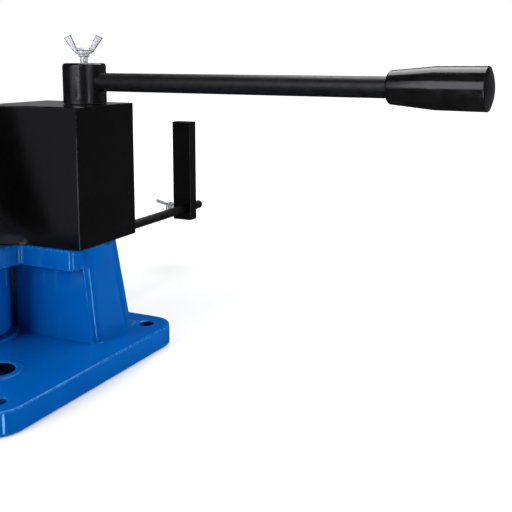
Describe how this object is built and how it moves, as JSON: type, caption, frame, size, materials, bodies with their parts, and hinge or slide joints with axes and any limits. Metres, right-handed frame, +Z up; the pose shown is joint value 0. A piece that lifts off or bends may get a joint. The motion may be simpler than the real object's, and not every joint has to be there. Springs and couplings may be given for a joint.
{
  "type": "bar bender",
  "caption": "Bench bar bender: a cast base with a deck and swinging arm, a tall block pushed by a top lever to clamp a flat bar on edge, and a sliding length stop.",
  "frame": {"origin": "centre of the bench bolt pattern, on the underside of the base plate", "axes": "+X along the clamped bar towards the length stop, +Y across the bar towards the fixed jaw, +Z up"},
  "size_m": [0.8229, 0.4695, 0.2574],
  "materials": {
    "blue_enamel": "gloss enamel over rough casting",
    "black_steel": "satin black",
    "black_rod": "satin black, slightly mottled",
    "black_gloss": "gloss black",
    "black_oxide": "black oxide",
    "grip_plastic": "moulded, glossy",
    "zinc_plate": "bright zinc",
    "ground_steel": "ground",
    "bronze": "turned"
  },
  "bodies": {
    "frame": {"base_casting": "blue_enamel", "pivot_pin": "ground_steel", "pivot_lock_screw": "black_oxide", "guide_keys": "ground_steel", "eccentric_bush": "bronze", "fixed_jaw": "black_steel", "fixed_jaw_screws": "black_oxide", "stop_rod": "black_rod", "stop_rod_nut": "zinc_plate"},
    "clamp_block": {"clamp_block": "black_steel"},
    "clamp_lever": {"eccentric_shaft": "ground_steel", "shaft_washer": "zinc_plate", "shaft_screw": "zinc_plate", "lever_hub": "black_gloss", "hub_pin": "black_gloss", "lever_rod": "black_rod", "lever_grip": "grip_plastic"},
    "hub_wing_screw": {"hub_wing_screw": "zinc_plate"},
    "bending_arm": {"arm_casting": "blue_enamel", "arm_bush_lower": "bronze", "arm_bush_upper": "bronze", "bending_leaf": "black_steel", "leaf_screws": "black_oxide", "handle_tube": "black_rod", "handle_grip": "grip_plastic", "handle_set_screw": "black_oxide"},
    "stop_post": {"stop_post": "black_steel"},
    "stop_wing_screw": {"stop_wing_screw": "zinc_plate"}
  },
  "joints": [
    {"name": "lever_turn", "type": "hinge", "parent": "frame", "child": "clamp_lever", "pos_m": [0.0627, -0.0438, 0.2], "axis": [0, 0, -1], "range_deg": [0, 75]},
    {"name": "block_slide", "type": "slide", "parent": "frame", "child": "clamp_block", "axis": [0, 1, 0], "range_m": [0, 0.00609]},
    {"name": "hub_screw_turn", "type": "hinge", "parent": "clamp_lever", "child": "hub_wing_screw", "pos_m": [0.0627, -0.0438, 0.24], "axis": [0, 0, 1], "continuous": true},
    {"name": "arm_swing", "type": "hinge", "parent": "frame", "child": "bending_arm", "pos_m": [-0.003, 0.0275, 0.045], "axis": [0, 0, 1], "range_deg": [0, 100]},
    {"name": "stop_travel", "type": "slide", "parent": "frame", "child": "stop_post", "axis": [1, 0, 0], "range_m": [-0.213, 0.02]},
    {"name": "stop_screw_turn", "type": "hinge", "parent": "stop_post", "child": "stop_wing_screw", "pos_m": [0.32775, 0.04075, 0.0664], "axis": [0, 1, 0], "continuous": true}
  ],
  "couplings": [
    {"joint": "block_slide", "follows": "lever_turn", "m_per_rad": 0.0046506}
  ]
}
